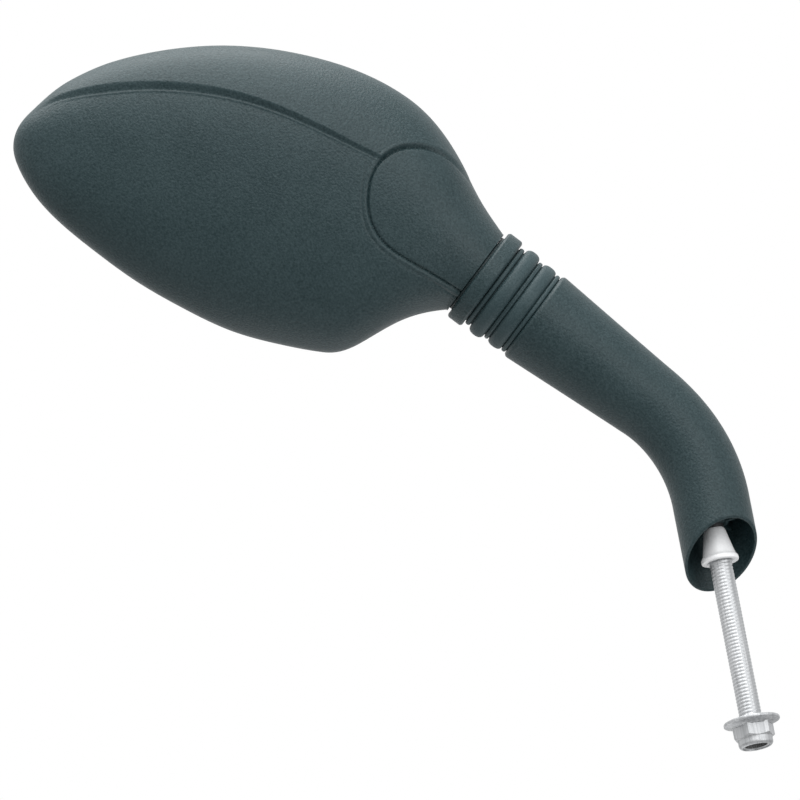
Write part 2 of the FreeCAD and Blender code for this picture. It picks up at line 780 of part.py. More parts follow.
# The glass's edge, an even step inside the rim, rounded off before the neck
GLASS = [
    (-164.0, 51.0),
    (-154.0, 65.6),
    (-131.5, 74.4),
    (-100.9, 77.6),
    (-71.8, 74.2),
    (-51.0, 64.5),
    (-41.0, 47.5),
    (-41.5, 29.0),
    (-48.0, 10.5),
    (-60.0, -2.8),
    (-77.0, -7.6),
    (-93.3, -4.0),
    (-113.6, 5.4),
    (-136.0, 18.8),
    (-155.0, 33.4),
]


def smooth(points, level, closed):
    """Smooth curve through (p, q) points at one level of r."""
    spots = [V(p * grow, q * grow, level) for p, q in points]
    curve = Part.BSplineCurve()
    curve.interpolate(Points=spots, PeriodicFlag=closed)
    return curve


def stepped(curve, step, level, closed):
    """The same curve moved sideways by a step, to the left of its direction."""
    first, last = curve.FirstParameter, curve.LastParameter
    count = 30
    spots = []
    for i in range(count if closed else count + 1):
        at = first + (last - first) * i / count
        way = curve.tangent(at)[0]
        spots.append(curve.value(at) + V(-way.y, way.x, 0) * step)
    for spot in spots:
        spot.z = level
    moved = Part.BSplineCurve()
    moved.interpolate(Points=spots, PeriodicFlag=closed)
    return moved


def closed_block(curve, corners, level, height):
    """Block under an open curve closed by straight lines through the given corners."""
    ends = [curve.value(curve.LastParameter)] + [V(p * grow, q * grow, level) for p, q in corners]
    ends.append(curve.value(curve.FirstParameter))
    lines = [Part.LineSegment(a, b).toShape() for a, b in zip(ends, ends[1:])]
    return block([curve.toShape()] + lines, height)


base_skin = head_skin(inside(0))
brow_block = closed_block(smooth(CREASE, -40, False), [(40, 130), (-210, 130), (-210, 57.5)], -40, 90)
pad_line = smooth(PAD, -40, False)
pad_corners = [(40, -40), (40, 20)]
pad_block_all = closed_block(pad_line, pad_corners, -40, 90)
brow = head_skin(brow_step).common(brow_block).cut(pad_block_all)
pad_inner = closed_block(stepped(pad_line, size("groove_width"), -40, False), pad_corners, -40, 90)
groove = pad_block_all.cut(pad_inner).cut(head_skin(inside(size("groove_depth")), 4))
back_half = Part.makeBox(400, 400, 90, V(-300, -200, -2))
groove = groove.common(back_half)

# The hollow inside the shell, down to a ledge for the glass, and the glass's own pocket in front of it
rim = -size("rim_level") * grow
ledge = -size("ledge_level") * grow
behind_ledge = Part.makeBox(400, 400, 90, V(-300, -200, ledge + size("ledge_wall")))
inner_skin = head_skin(inside(size("housing_wall")), 4)
glass_line = smooth(GLASS, 0, True)
inward = 1 if stepped(glass_line, 1, 0, True).toShape().BoundBox.XLength < glass_line.toShape().BoundBox.XLength else -1


def glass_block(inset, low, high):
    """Block over the glass's outline, a step inside it."""
    line = stepped(glass_line, inward * inset, low, True)
    return block([line.toShape()], high - low)


# The bulkhead is a slab of the head left standing across its hollow, for the socket's screws
pocket = glass_block(-size("glass_gap"), rim - 10, ledge)
window = glass_block(4.5, ledge - 1, ledge + size("ledge_wall") + 1)
bulkhead = Part.makeBox(200, 200, size("bulkhead_wall"), V(-100, -100, -size("bulkhead")))
bulkhead.Placement = FreeCAD.Placement(V(0, 0, 0), axis_turn)
hollows = inner_skin.common(behind_ledge).cut(bulkhead).Solids
front_block = Part.makeBox(400, 400, 60, V(-300, -200, rim - 60))
neck_bore = bound(
    "Part::Cylinder",
    "neck_bore",
    along(-size("bulkhead") - 14),
    Radius="sizes.tube_dia / 2 + 2 * sizes.run_gap",
    Height="sizes.bulkhead + 14 - sizes.collar_start + 4",
)
pilot_holes = []
for i, spot in enumerate(screw_spots):
    spot_place = FreeCAD.Placement(axis_turn.multVec(spot + V(0, 0, -size("bulkhead") - 1)), axis_turn)
    pilot_holes.append(
        bound(
            "Part::Cylinder",
            f"pilot_hole_{i}",
            spot_place,
            Radius="sizes.screw_dia / 2 + 0.03",
            Height="sizes.bulkhead_wall + 1.3",
        )
    )
housing = joined("housing_skin", [formed("head_base", base_skin), formed("head_brow", brow)])
housing_cuts = [
    ("housing_fronted", formed("front_space", front_block)),
    ("housing_grooved", formed("pad_groove", groove)),
    *[(f"housing_hollowed_{i}", formed(f"hollow_{i}", space)) for i, space in enumerate(hollows)],
    ("housing_windowed", formed("glass_window", window)),
    ("housing_pocketed", formed("glass_pocket", pocket)),
    ("housing_bored", neck_bore),
    ("housing_drilled", pilot_holes[0]),
    ("housing", pilot_holes[1]),
]
for label, tool in housing_cuts:
    housing = cut(label, housing, tool)
housing.Placement = head_place

# The convex glass, the foam under it and the carrier that beds on the ledge, all struck from one centre
curve_middle = V(-100 * grow, 36 * grow, rim - size("glass_proud") + size("glass_curve"))


def dome(radius):
    """Ball about the glass's centre of curvature."""
    return Part.makeSphere(radius, curve_middle)


worked_out(
    {
        "foam_rad": "glass_curve - glass_thick - 0.02",
        "carrier_rad": "foam_rad - foam_thick - 0.02",
    }
)
front_level = rim - 10
glass_plate = glass_block(0, front_level, ledge - 0.02)
foam_plate = glass_block(2, front_level, ledge - 0.02)
glass = glass_plate.common(dome(size("glass_curve"))).cut(dome(size("glass_curve") - size("glass_thick")))
foam = foam_plate.common(dome(size("foam_rad"))).cut(dome(size("foam_rad") - size("foam_thick")))
mirror_glass = formed("mirror_glass", glass, head_place)
foam_pad = formed("foam_pad", foam, head_place)
glass_carrier = formed("glass_carrier", glass_plate.common(dome(size("carrier_rad"))), head_place)

doc.recompute()

PARTS = [
    housing,
    mirror_glass,
    foam_pad,
    glass_carrier,
    socket_body,
    friction_pad,
    disc_springs,
    spring_plug,
    socket_screws,
    neck_collar,
    neck_bellows,
    ball_end,
    arm_core,
    arm_sleeve,
    cone_foot,
    stud,
    flange_nut,
    nylon_insert,
]
for piece in doc.Objects:
    if "Invalid" in piece.State or "Error" in piece.State:
        raise RuntimeError(f"{piece.Label} did not build: {piece.State}")
os.makedirs("parts", exist_ok=True)
for piece in PARTS:
    shape = piece.Shape
    if shape.isNull() or not shape.isValid() or not shape.Solids:
        raise RuntimeError(f"{piece.Label} has no valid solid")
    shape.exportStep(f"parts/{piece.Label}.step")
    print(piece.Label, len(shape.Solids), round(shape.Volume, 1), len(shape.Faces))
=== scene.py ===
import math
import bmesh
import bpy
import numpy as np
from mathutils import Matrix


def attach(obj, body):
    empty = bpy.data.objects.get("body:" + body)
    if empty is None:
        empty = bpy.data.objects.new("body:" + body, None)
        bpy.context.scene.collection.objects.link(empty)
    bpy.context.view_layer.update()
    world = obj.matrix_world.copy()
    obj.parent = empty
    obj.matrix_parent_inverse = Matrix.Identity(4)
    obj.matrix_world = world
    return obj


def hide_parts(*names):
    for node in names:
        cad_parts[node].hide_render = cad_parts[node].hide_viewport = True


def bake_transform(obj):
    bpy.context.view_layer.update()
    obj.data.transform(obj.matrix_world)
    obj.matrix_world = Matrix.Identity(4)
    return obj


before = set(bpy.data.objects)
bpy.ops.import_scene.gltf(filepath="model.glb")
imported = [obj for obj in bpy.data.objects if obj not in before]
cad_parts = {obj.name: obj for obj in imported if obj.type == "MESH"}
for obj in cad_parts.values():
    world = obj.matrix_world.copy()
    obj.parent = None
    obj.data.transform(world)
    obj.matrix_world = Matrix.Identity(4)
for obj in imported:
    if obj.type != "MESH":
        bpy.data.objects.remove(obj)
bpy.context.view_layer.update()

# The stud: a steel bolt with a rolled M8 thread all along it, zinc plated.
# It is screwed into the cone foot above it, and it goes through the vehicle's lug.
# Lengths in the sections on pieces are in millimetres; piece() turns a shape into a mesh in metres.
STUD_RADIUS = 4.0
STUD_TOP = 0.65
STUD_END = -64.0
STUD_BEVEL = 0.85
THREAD_PITCH = 1.25
THREAD_DEPTH = 0.12


def piece(name, *grids):
    """One mesh of several two-parameter grids of points, welded where they meet, faces turned outwards."""
    points, faces, start = [], [], 0
    for grid in grids:
        rows, columns = grid.shape[:2]
        number = np.arange(rows * columns).reshape(rows, columns) + start
        quad = (number[:-1, :-1], number[:-1, 1:], number[1:, 1:], number[1:, :-1])
        faces.append(np.stack(quad, axis=-1).reshape(-1, 4))
        points.append(grid.reshape(-1, 3) * 0.001)
        start += rows * columns
    mesh = bpy.data.meshes.new(name)
    mesh.from_pydata(np.concatenate(points).tolist(), [], np.concatenate(faces).tolist())
    welded = bmesh.new()
    welded.from_mesh(mesh)
    bmesh.ops.remove_doubles(welded, verts=welded.verts, dist=1e-6)
    bmesh.ops.recalc_face_normals(welded, faces=welded.faces)
    welded.to_mesh(mesh)
    welded.free()
    mesh.polygons.foreach_set("use_smooth", np.ones(len(mesh.polygons), dtype=bool))
    mesh.set_sharp_from_angle(angle=math.radians(38))
    obj = bpy.data.objects.new(name, mesh)
    bpy.context.collection.objects.link(obj)
    return obj


def round_angles(columns):
    """Angles once round, with the first one repeated at the end so that the seam welds."""
    return np.linspace(0, 2 * math.pi, columns + 1)


def about_z(radius, angle, height):
    """Points at each radius, angle and height about Z."""
    return np.stack([radius * np.cos(angle), radius * np.sin(angle), height + 0 * angle], axis=-1)


def threaded(top, end, rows, columns):
    """Screw surface, flat at both ends: the radius dips once a pitch, and the dip climbs once round."""
    height = np.concatenate([[top], np.linspace(top, end, rows), [end]])[:, None]
    angle = round_angles(columns)[None, :]
    wave = 0.5 - 0.5 * np.cos(2 * math.pi * height / THREAD_PITCH - angle)
    lead_in = STUD_RADIUS - STUD_BEVEL + (height - end)
    radius = np.minimum(STUD_RADIUS - THREAD_DEPTH * wave**1.5, lead_in)
    radius[[0, -1]] = 0
    return about_z(radius, angle, height)


def surface_finish(name, tones, patch, rough, grain, depth, metal=0.0, stretch=(1, 1, 1), sheen=0.5):
    """Finish whose colour and roughness drift between two values, with a fine raised grain in it.

    patch and grain are how many waves of noise lie in a metre, and depth is the grain's height in metres;
    stretch draws the noise out along an axis; sheen is the strength of the clear reflection.
    """
    finish = bpy.data.materials.new(name)
    finish.use_nodes = True
    nodes, links = finish.node_tree.nodes, finish.node_tree.links
    shader = nodes["Principled BSDF"]
    shader.inputs["Metallic"].default_value = metal
    shader.inputs["Specular IOR Level"].default_value = sheen
    place = nodes.new("ShaderNodeTexCoord")
    drawn = nodes.new("ShaderNodeMapping")
    drawn.inputs["Scale"].default_value = stretch
    links.new(place.outputs["Object"], drawn.inputs["Vector"])
    drift = nodes.new("ShaderNodeTexNoise")
    drift.inputs["Scale"].default_value = patch
    drift.inputs["Detail"].default_value = 3.0
    links.new(drawn.outputs["Vector"], drift.inputs["Vector"])
    grit = nodes.new("ShaderNodeTexNoise")
    grit.inputs["Scale"].default_value = grain
    grit.inputs["Detail"].default_value = 2.0
    links.new(drawn.outputs["Vector"], grit.inputs["Vector"])
    tone = nodes.new("ShaderNodeValToRGB")
    tone.color_ramp.elements[0].position = 0.3
    tone.color_ramp.elements[1].position = 0.7
    for element, colour in zip(tone.color_ramp.elements, tones):
        element.color = (*colour, 1.0)
    speckle = nodes.new("ShaderNodeMix")
    speckle.inputs["Factor"].default_value = 0.8
    links.new(drift.outputs["Fac"], speckle.inputs["A"])
    links.new(grit.outputs["Fac"], speckle.inputs["B"])
    links.new(speckle.outputs["Result"], tone.inputs["Fac"])
    links.new(tone.outputs["Color"], shader.inputs["Base Color"])
    gloss = nodes.new("ShaderNodeMapRange")
    gloss.inputs["To Min"].default_value = rough[0]
    gloss.inputs["To Max"].default_value = rough[1]
    links.new(drift.outputs["Fac"], gloss.inputs["Value"])
    links.new(gloss.outputs["Result"], shader.inputs["Roughness"])
    raised = nodes.new("ShaderNodeBump")
    raised.inputs["Strength"].default_value = 1.0
    raised.inputs["Distance"].default_value = depth
    links.new(grit.outputs["Fac"], raised.inputs["Height"])
    links.new(raised.outputs["Normal"], shader.inputs["Normal"])
    return finish


def dressed(obj, finish, body, slot, *nodes):
    """Gives a piece its finish and the body it moves with, and hides the solids it stands for; slot is not
    used.
    """
    obj.data.materials.append(finish)
    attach(obj, body)
    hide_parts(*nodes)


# Zinc colour with painted reflections: lighter and darker streaks, drawn out along the axis, stand in for the
# lamps mirrored on the stud and the nut.
zinc_painted_reflection_streaks = surface_finish(
    "zinc_painted_reflection_streaks",
    tones=((0.34, 0.35, 0.36), (0.56, 0.57, 0.58)),
    patch=420,
    rough=(0.46, 0.58),
    grain=1400,
    depth=0.00002,
    metal=1.0,
    stretch=(1, 1, 0.03),
)
stud = piece("stud_thread", threaded(STUD_TOP, STUD_END, 520, 48))
dressed(stud, zinc_painted_reflection_streaks, "arm", "zinc_steel", "stud")

# The cone foot: a turned steel shoulder between the arm's core and the stud, zinc plated.
# Its rim bears on the lug, and the stud leaves it through a small countersink.
FOOT_RIM = 6.7
FOOT_TIP = 3.65
FOOT_HEIGHT = 12.0
COUNTERSINK = 1.6
FOOT_EASE = 1.6


def turned(profile, columns):
    """Lathe shape: each (radius, height) of the profile is carried once round Z."""
    profile = np.asarray(profile, float)
    return about_z(profile[:, :1], round_angles(columns)[None, :], profile[:, 1:])


def eased(corners, radius, closed=False, steps=6):
    """Profile with its corners rounded: each becomes a parabola from a radius before it to a radius after."""
    corners = np.asarray(corners, float)
    back = np.roll(corners, 1, axis=0) - corners
    on = np.roll(corners, -1, axis=0) - corners
    back_length = np.linalg.norm(back, axis=1, keepdims=True)
    on_length = np.linalg.norm(on, axis=1, keepdims=True)
    before = corners + back / back_length * np.minimum(radius, 0.45 * back_length)
    after = corners + on / on_length * np.minimum(radius, 0.45 * on_length)
    share = np.linspace(0, 1, steps)[None, :, None]
    ends = before[:, None] * (1 - share) ** 2 + after[:, None] * share**2
    curve = ends + 2 * corners[:, None] * share * (1 - share)
    if closed:
        return np.concatenate([curve.reshape(-1, 2), curve[0, :1]])
    return np.concatenate([corners[:1], curve[1:-1].reshape(-1, 2), corners[-1:]])


foot_profile = eased(
    [
        (0, COUNTERSINK),
        (STUD_RADIUS - 0.6, COUNTERSINK),
        (STUD_RADIUS + 0.6, 0),
        (FOOT_RIM - 0.3, 0),
        (FOOT_RIM, 0.4),
        (FOOT_RIM, 1.5),
        (FOOT_RIM - 0.8, 2.4),
        (FOOT_TIP + 0.8, FOOT_HEIGHT - 3.0),
        (FOOT_TIP, FOOT_HEIGHT + 0.7),
        (0, FOOT_HEIGHT + 1.2),
    ],
    FOOT_EASE,
)
matt_zinc = surface_finish(
    "matt_zinc",
    tones=((0.76, 0.77, 0.78), (0.84, 0.85, 0.86)),
    patch=180,
    rough=(0.42, 0.55),
    grain=1500,
    depth=0.00001,
    metal=0.15,
)
foot = piece("cone_foot_turned", turned(foot_profile, 64))
dressed(foot, matt_zinc, "arm", "zinc_steel", "cone_foot")

# The flange nut: a forged 13 mm lock nut with a washer face and a crimped collar, zinc plated.
# It runs on the stud's thread and clamps the lug against the cone foot.
# The grey nylon ring held in its collar grips the thread, and is shown as it was built.
NUT_FACE = -58.0
NUT_FLATS = 13.0
NUT_BORE = 4.05
NUT_HEIGHT = 9.8
FLANGE_RADIUS = 10.0
FLANGE_EDGE = 0.3
FLANGE_TOP = 2.4
HEX_START = 2.5
HEX_BEVEL = 5.9
HEX_END = 7.6
BEVEL_RADIUS = 7.7
BEVEL_SLOPE = 1.5
CRIMP_RADIUS = 6.15
CRIMP_INSIDE = 4.85
RING_LEVEL = 9.15
# radius and height of the turned body, from the flange's edge to the crimped collar
NUT_BODY = np.array(
    [
        (FLANGE_RADIUS, FLANGE_EDGE),
        (FLANGE_RADIUS, 0.9),
        (9.85, 1.05),
        (9.0, 1.3),
        (8.1, 1.6),
        (7.4, 2.0),
        (7.05, FLANGE_TOP),
        (6.3, HEX_START),
        (6.3, 6.9),
        (6.2, 7.2),
        (CRIMP_RADIUS, HEX_END),
    ]
)
NUT_WASHER = [(NUT_BORE, 0.0), (9.0, 0.0), (9.7, 0.0), (9.91, 0.09), (FLANGE_RADIUS, FLANGE_EDGE)]
NUT_CRIMP = [
    (CRIMP_RADIUS, HEX_END),
    (CRIMP_RADIUS, 8.9),
    (5.5, NUT_HEIGHT - 0.1),
    (CRIMP_INSIDE, NUT_HEIGHT),
    (CRIMP_INSIDE, RING_LEVEL),
    (NUT_BORE, RING_LEVEL),
]


def nut_grids(columns):
    """Nut surface: at each height the larger of a turned body and a hexagon with bevelled far corners.

    The washer face, the crimped collar and the bore are turned, and all of it hangs below the nut's face.
    """
    angle = round_angles(columns)[None, :]
    on_flange = np.linspace(FLANGE_EDGE, FLANGE_TOP, 16)
    on_flats = np.linspace(HEX_START, HEX_BEVEL, 5)
    on_bevel = np.linspace(HEX_BEVEL + 0.1, HEX_END, 14)
    height = np.concatenate([on_flange, on_flats, on_bevel])[:, None]
    body = np.interp(height, NUT_BODY[:, 1], NUT_BODY[:, 0])
    hexagon = NUT_FLATS / 2 / np.cos(np.mod(angle, math.pi / 3) - math.pi / 6)
    bevel = BEVEL_RADIUS - BEVEL_SLOPE * np.clip(height - HEX_BEVEL, 0, None)
    sides = about_z(np.maximum(np.minimum(hexagon, bevel), body), angle, height)
    washer = turned(NUT_WASHER, columns)
    crimp = turned(eased(NUT_CRIMP, 0.6), columns)
    bore = turned([(NUT_BORE, RING_LEVEL), (NUT_BORE, 0.0)], columns)
    grids = (washer, sides, crimp, bore)
    return [grid * np.array([1, -1, -1]) + np.array([0, 0, NUT_FACE]) for grid in grids]


def node_finish(finish, *names):
    """Puts a finish on solids that are shown as they were built."""
    for name in names:
        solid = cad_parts[name]
        solid.data.materials.clear()
        solid.data.materials.append(finish)


# the nut takes the same zinc, with its painted reflection streaks
nut = piece("flange_nut_forged", *nut_grids(96))
dressed(nut, zinc_painted_reflection_streaks, "nut", "zinc_steel", "flange_nut")
grey_nylon = surface_finish(
    "grey_nylon",
    tones=((0.10, 0.10, 0.10), (0.14, 0.14, 0.14)),
    patch=300,
    rough=(0.4, 0.55),
    grain=2500,
    depth=0.00001,
)
node_finish(grey_nylon, "nylon_insert")

# The core: a bent steel rod, blackened, which only shows above the cone foot, inside the sleeve.
# The ball pressed on its upper end is bright steel, like the springs, plug and screws round it.
# All of them are shown as they were built.
black_steel = surface_finish(
    "black_steel",
    tones=((0.02, 0.02, 0.022), (0.04, 0.04, 0.042)),
    patch=200,
    rough=(0.4, 0.6),
    grain=1500,
    depth=0.00002,
)
turned_steel = surface_finish(
    "turned_steel",
    tones=((0.50, 0.51, 0.52), (0.60, 0.61, 0.62)),
    patch=200,
    rough=(0.2, 0.35),
    grain=1200,
    depth=0.00001,
    metal=1.0,
)
node_finish(black_steel, "arm_core")
node_finish(turned_steel, "ball_end", "disc_springs", "spring_plug", "socket_screws")

# The sleeve: a hollow arm moulded in black plastic, tapering from the bellows down round the elbow.
# Its slanting mouth is open, and inside it a boss on four ribs holds the core.
ARM_BEND = math.radians(44.4)
ELBOW_HEIGHT = 46.1
ELBOW_RADIUS = 55.0
ARM_REACH = 83.8
SLEEVE_START = 12.1
SLEEVE_TOP = 17.5
SLEEVE_END = 13.6
TAPER_REACH = 55.0
TAPER_EASE = 0.5
SLEEVE_WALL = 2.2
SKIN_START = 1.6
END_WALL = 5.3
SEAT_RADIUS = 15.55
SEAT_DEPTH = 2.0
LEG_OFFSET = 0.9
MOUTH_LEVEL = 3.1
MOUTH_SLOPE = math.tan(math.radians(35.7))
MOUTH_TURN = math.radians(-78)
MOUTH_WALL = 1.1
MOUTH_REACH = 118.0
WALL_GROWTH = 10.0
LIP_DEPTH = 0.7
CORE_HOLE = 3.55
BOSS_RADIUS = 5.5
BOSS_START = 13.5
RIB_HALF = 0.8
RIB_ROOT = 4.5
RIB_REACH = 12.3
RIB_TURNS = (45, 135, 225, 315)
neck_way = np.array([-math.sin(ARM_BEND), 0, math.cos(ARM_BEND)])
ball_centre = np.array([0, 0, ELBOW_HEIGHT]) + neck_way * ARM_REACH
tangent = ELBOW_RADIUS * math.tan(ARM_BEND / 2)
straight = ARM_REACH - tangent - SLEEVE_START
arc_length = ELBOW_RADIUS * ARM_BEND
bend_low = ELBOW_HEIGHT - tangent


def arm_ring(distance, radius, angle):
    """Points round the arm's line, which runs straight, round the elbow's arc, then down by the stud's axis.

    distance is measured down from the sleeve's top end; the lower leg stands a little outside that axis.
    """
    turn = np.clip(ARM_BEND - (distance - straight) / ELBOW_RADIUS, 0, ARM_BEND)
    beyond = distance - straight - ELBOW_RADIUS * (ARM_BEND - turn)
    out = radius * np.cos(angle)
    shift = LEG_OFFSET * (1 - turn / ARM_BEND) - ELBOW_RADIUS
    x = shift + (ELBOW_RADIUS + out) * np.cos(turn) + beyond * np.sin(turn)
    z = bend_low + (ELBOW_RADIUS + out) * np.sin(turn) - beyond * np.cos(turn)
    return np.stack([x, radius * np.sin(angle) + 0 * x, z], axis=-1)


def sleeve_radius(distance):
    """Taper of the outer skin: even below the bellows, then easing into a straight tube down to the mouth."""
    fall = (SLEEVE_TOP - SLEEVE_END) * (1 - distance / TAPER_REACH)
    return SLEEVE_END + (fall + np.hypot(fall, TAPER_EASE)) / 2


def mouth_distance(radius, angle):
    """How far down the arm's line the slanting mouth cuts a tube of that radius, at each angle."""
    height = MOUTH_LEVEL + radius * MOUTH_SLOPE * np.cos(angle - MOUTH_TURN)
    return straight + arc_length + bend_low - height


def sleeve_grid(columns):
    """Closed wall: end wall and seat, outer skin down to the mouth, rounded lip, inner skin back up."""
    angle = round_angles(columns)[None, :]
    seat = eased(
        [
            (CORE_HOLE, END_WALL),
            (CORE_HOLE, SEAT_DEPTH),
            (SEAT_RADIUS, SEAT_DEPTH),
            (SEAT_RADIUS, 0),
            (SLEEVE_TOP - 1.0, 0),
            (SLEEVE_TOP - 0.15, 0.9),
            (SLEEVE_TOP - 0.12, SKIN_START),
        ],
        0.8,
    )
    top = arm_ring(seat[:, 1:], seat[:, :1], angle)
    mouth_radius = sleeve_radius(np.array(MOUTH_REACH))
    low_end = mouth_distance(mouth_radius, angle) - LIP_DEPTH
    outer_distance = SKIN_START + (low_end - SKIN_START) * np.linspace(0, 1, 90)[:, None]
    outer = arm_ring(outer_distance, sleeve_radius(outer_distance), angle)
    lip_radius = mouth_radius - MOUTH_WALL * np.array([0.02, 0.1, 0.25, 0.5, 0.75, 0.9, 0.98])[:, None]
    lip_back = np.array([0.3, 0.1, 0, 0, 0, 0.1, 0.3])[:, None]
    lip = arm_ring(mouth_distance(lip_radius, angle) - lip_back, lip_radius, angle)
    inner_end = mouth_distance(mouth_radius - MOUTH_WALL, angle) - LIP_DEPTH
    inner_distance = inner_end + (END_WALL - inner_end) * np.linspace(0, 1, 80)[:, None]
    growth = np.clip((inner_end - inner_distance) / WALL_GROWTH, 0, 1)
    wall = MOUTH_WALL + (SLEEVE_WALL - MOUTH_WALL) * growth
    inner = arm_ring(inner_distance, sleeve_radius(inner_distance) - wall, angle)
    return np.concatenate([top, outer, lip, inner, top[:1]])


def upright_loop(inside, outside, ease):
    """Closed rounded loop round the upright cut of the boss or of a rib, from one reach to another."""
    corners = [(inside, BOSS_START), (outside, BOSS_START), (outside, bend_low), (inside, bend_low)]
    return eased(corners, ease, closed=True)


def rib_grid(turn):
    """One rib: a thin upright loop carried out from the boss into the sleeve's wall, closed at both ends."""
    loop = upright_loop(-RIB_HALF, RIB_HALF, 0.3)
    reach = np.array([RIB_ROOT, RIB_ROOT, RIB_REACH, RIB_REACH])[:, None]
    spread = np.array([0, 1, 1, 0])[:, None]
    middle = (BOSS_START + bend_low) / 2
    aside = spread * loop[None, :, 0]
    x = reach * math.cos(turn) - aside * math.sin(turn)
    y = reach * math.sin(turn) + aside * math.cos(turn)
    return np.stack([x, y, middle + spread * (loop[None, :, 1] - middle)], axis=-1)


boss = turned(upright_loop(CORE_HOLE, BOSS_RADIUS, 0.4), 48)
ribs = [rib_grid(math.radians(turn)) for turn in RIB_TURNS]
black_plastic = surface_finish(
    "black_plastic",
    tones=((0.006, 0.020, 0.023), (0.028, 0.050, 0.055)),
    patch=60,
    rough=(0.42, 0.52),
    grain=1300,
    depth=0.0002,
    sheen=0.3,
)
sleeve = piece("arm_sleeve_moulded", sleeve_grid(120), boss, *ribs)
dressed(sleeve, black_plastic, "arm", "black_plastic", "arm_sleeve")

# The bellows: a soft rubber sleeve with two rings and a small bead in each groove beside them.
# Its plain ends sit in seats in the sleeve and the collar, and it lets the head tilt on its ball.
# It is made as two halves that meet in the middle groove.
GROOVE_RADIUS = 15.5
# radius, start and end of each ring, then start and end of each bead, from the ball towards the arm
HEAD_RING = (18.0, -3.4, 2.6)
ARM_RING = (17.25, 4.5, 10.1)
BEAD_RADIUS = 16.5
HEAD_BEAD = (-5.6, -3.6)
MIDDLE_BEAD = (2.7, 4.4)
ARM_BEAD = (10.2, 12.0)
RUBBER = 1.5
BELLOWS_START = -7.7
BELLOWS_MIDDLE = 3.55
BELLOWS_END = 14.0
neck_side = np.array([math.cos(ARM_BEND), 0, math.sin(ARM_BEND)])


def on_neck(grid):
    """Carries a shape turned about Z to the neck: its height runs from the ball towards the arm."""
    axes = np.stack([neck_side, np.array([0, 1.0, 0]), -neck_way])
    return ball_centre + grid @ axes


def ring_profile(radius, start, end):
    """Outside of one ring or bead: a flattened half-round that stands on the groove's floor."""
    across = np.linspace(-1, 1, 25)
    height = (1 - np.abs(across) ** 2.4) ** (1 / 2.4)
    place = (start + end) / 2 + across * (end - start) / 2
    return np.stack([GROOVE_RADIUS + (radius - GROOVE_RADIUS) * height, place], axis=1)


def bellows_half(ring, ends, beads):
    """Rubber wall of one half: a ring between two beads outside, a hollow a wall's thickness away inside."""
    radius, start, end = ring
    low_bead = ring_profile(BEAD_RADIUS, *beads[0])
    high_bead = ring_profile(BEAD_RADIUS, *beads[1])
    outside = np.concatenate([low_bead, ring_profile(*ring), high_bead])
    outside = outside[(outside[:, 1] >= ends[0]) & (outside[:, 1] <= ends[1])]
    inside = [
        (GROOVE_RADIUS, ends[1]),
        (GROOVE_RADIUS - RUBBER, ends[1]),
        (GROOVE_RADIUS - RUBBER, end - RUBBER),
        (radius - RUBBER, end - RUBBER),
        (radius - RUBBER, start + RUBBER),
        (GROOVE_RADIUS - RUBBER, start + RUBBER),
        (GROOVE_RADIUS - RUBBER, ends[0]),
        (GROOVE_RADIUS, ends[0]),
    ]
    return on_neck(turned(np.concatenate([outside, inside, outside[:1]]), 120))


rubber = surface_finish(
    "moulded_rubber",
    tones=((0.012, 0.030, 0.034), (0.034, 0.058, 0.064)),
    patch=90,
    rough=(0.5, 0.6),
    grain=1600,
    depth=0.00006,
    sheen=0.3,
)
arm_wall = bellows_half(ARM_RING, (BELLOWS_MIDDLE, BELLOWS_END), (MIDDLE_BEAD, ARM_BEAD))
head_wall = bellows_half(HEAD_RING, (BELLOWS_START, BELLOWS_MIDDLE), (HEAD_BEAD, MIDDLE_BEAD))
arm_half = piece("bellows_arm_half", arm_wall)
head_half = piece("bellows_head_half", head_wall)
# each half: the two bodies that it joins, and where on the neck its bend starts and ends
for half, bodies, start, end in (
    (arm_half, ("arm", "bellows"), 12.5, 4.2),
    (head_half, ("bellows", "collar"), 2.8, -6.2),
):
    half.data.materials.append(rubber)
    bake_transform(half)
    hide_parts("neck_bellows")

# The collar: a flat-faced ring moulded in the housing's plastic, between the bellows and the head's neck.
# It turns on the socket's tube, and a lip on it closes the gap to the neck's end face.
NECK_FACE = 13.0
COLLAR_RADIUS = 18.3
COLLAR_BORE = 12.8
COLLAR_START = -12.0
COLLAR_END = -5.8
COLLAR_EDGE = 0.7
COLLAR_LIP = 15.4
collar_profile = eased(
    [
        (COLLAR_BORE, -NECK_FACE),
        (COLLAR_LIP, -NECK_FACE),
        (COLLAR_LIP, COLLAR_START),
        (COLLAR_RADIUS - COLLAR_EDGE, COLLAR_START),
        (COLLAR_RADIUS, COLLAR_START + COLLAR_EDGE),
        (COLLAR_RADIUS, COLLAR_END - COLLAR_EDGE),
        (COLLAR_RADIUS - COLLAR_EDGE, COLLAR_END),
        (SEAT_RADIUS, COLLAR_END),
        (SEAT_RADIUS, COLLAR_END - SEAT_DEPTH),
        (COLLAR_BORE, COLLAR_END - SEAT_DEPTH),
    ],
    0.35,
    closed=True,
)
collar = piece("neck_collar_moulded", on_neck(turned(collar_profile, 120)))
dressed(collar, black_plastic, "collar", "black_plastic", "neck_collar")

# The socket: a moulded tube with a cup for the ball, screwed to the bulkhead inside the head.
# A pale nylon pad in it presses on the ball; both are out of sight and shown as they were built.
pale_nylon = surface_finish(
    "pale_nylon",
    tones=((0.74, 0.72, 0.66), (0.80, 0.78, 0.72)),
    patch=300,
    rough=(0.4, 0.55),
    grain=2500,
    depth=0.00001,
)
socket_plastic = surface_finish(
    "socket_plastic",
    tones=((0.07, 0.07, 0.07), (0.10, 0.10, 0.10)),
    patch=120,
    rough=(0.4, 0.5),
    grain=1500,
    depth=0.00002,
)
node_finish(pale_nylon, "friction_pad")
node_finish(socket_plastic, "socket_body")

